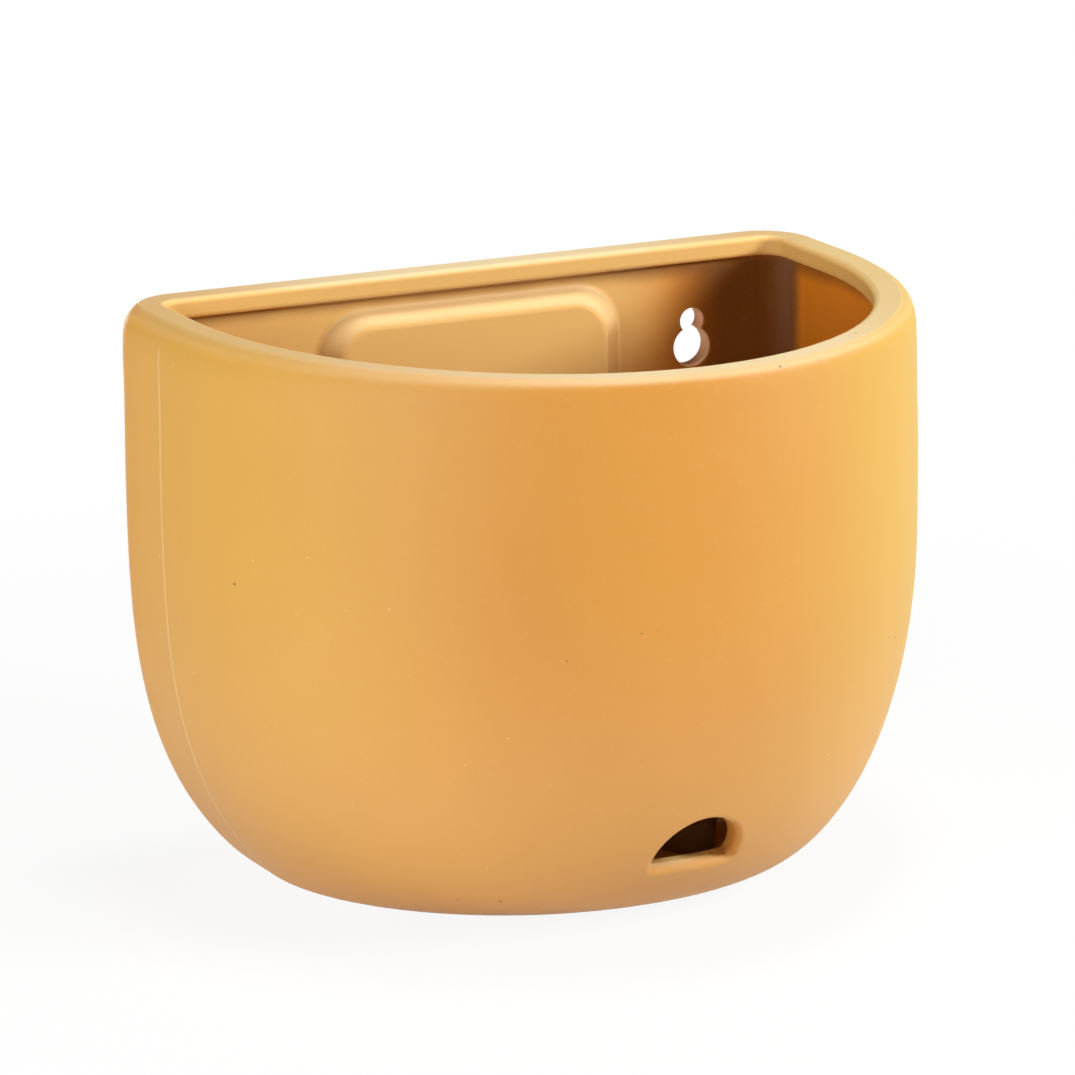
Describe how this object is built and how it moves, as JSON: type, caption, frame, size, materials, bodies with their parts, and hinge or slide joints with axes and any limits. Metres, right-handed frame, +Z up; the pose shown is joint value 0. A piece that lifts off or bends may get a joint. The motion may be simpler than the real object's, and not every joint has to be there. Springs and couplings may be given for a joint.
{
  "type": "wall planter",
  "caption": "Flat-backed wall planter with a full rounded front, a thick rolled rim, keyhole hangers, a half-moon overflow opening and a lift-out drainage platform.",
  "frame": {"origin": "midway between the two keyhole seats, on the flat back face", "axes": "+X across the wall, +Y into the wall along the keyholes, +Z up; the front of the pot faces -Y"},
  "size_m": [0.2202, 0.1613, 0.1622],
  "materials": {
    "glazed_stoneware": "satin-matt ochre glaze, paler where it thins on edges",
    "platform_plastic": "fine moulded grain"
  },
  "bodies": {
    "pot": {"planter_shell": "glazed_stoneware"},
    "platform": {"drainage_platform": "platform_plastic"}
  },
  "joints": [
    {"name": "platform_lift", "type": "slide", "parent": "pot", "child": "platform", "axis": [0, 0, 1], "range_m": [0, 0.19]}
  ]
}
